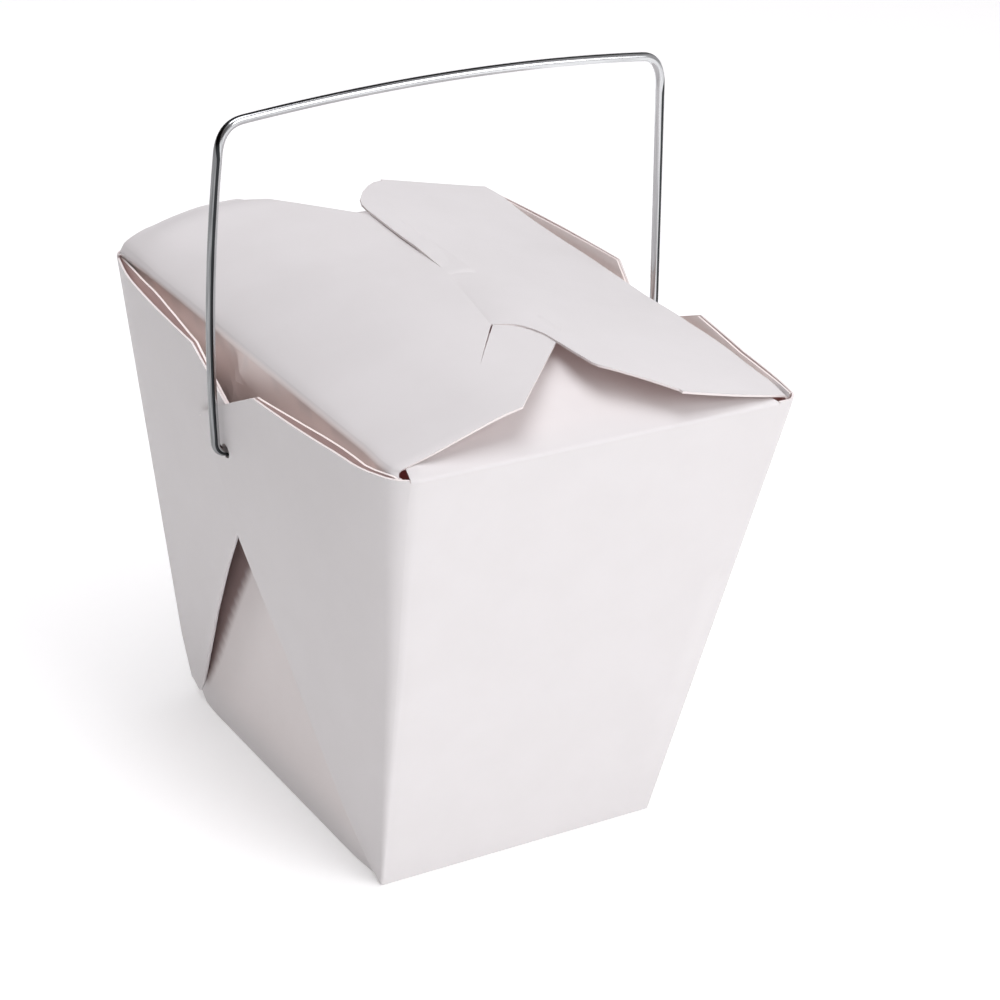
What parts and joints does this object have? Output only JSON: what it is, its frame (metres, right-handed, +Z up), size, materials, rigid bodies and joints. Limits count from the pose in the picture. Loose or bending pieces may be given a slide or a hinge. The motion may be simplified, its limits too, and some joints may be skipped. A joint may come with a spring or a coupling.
{
  "type": "takeaway food pail with wire handle",
  "caption": "Shut tapered white paperboard takeaway pail with folded gusset sides, a tuck-in flap lid and a swinging bent-wire handle.",
  "frame": {"origin": "middle of the base, on the surface the pail stands on", "axes": "+Z up; the plain panels face -Y (front) and +Y (back); the gusset sides with the handle's ends face -X and +X"},
  "size_m": [0.1071, 0.1192, 0.1534],
  "materials": {
    "board": "white coated paperboard, smooth satin",
    "steel": "bright drawn steel wire"
  },
  "bodies": {
    "carton": {"carton": "board"},
    "handle": {"wire_handle": "steel"}
  },
  "joints": [
    {"name": "handle_swing", "type": "hinge", "parent": "carton", "child": "handle", "pos_m": [0, 0, 0.081], "axis": [1, 0, 0], "range_deg": [-130, 130]}
  ]
}
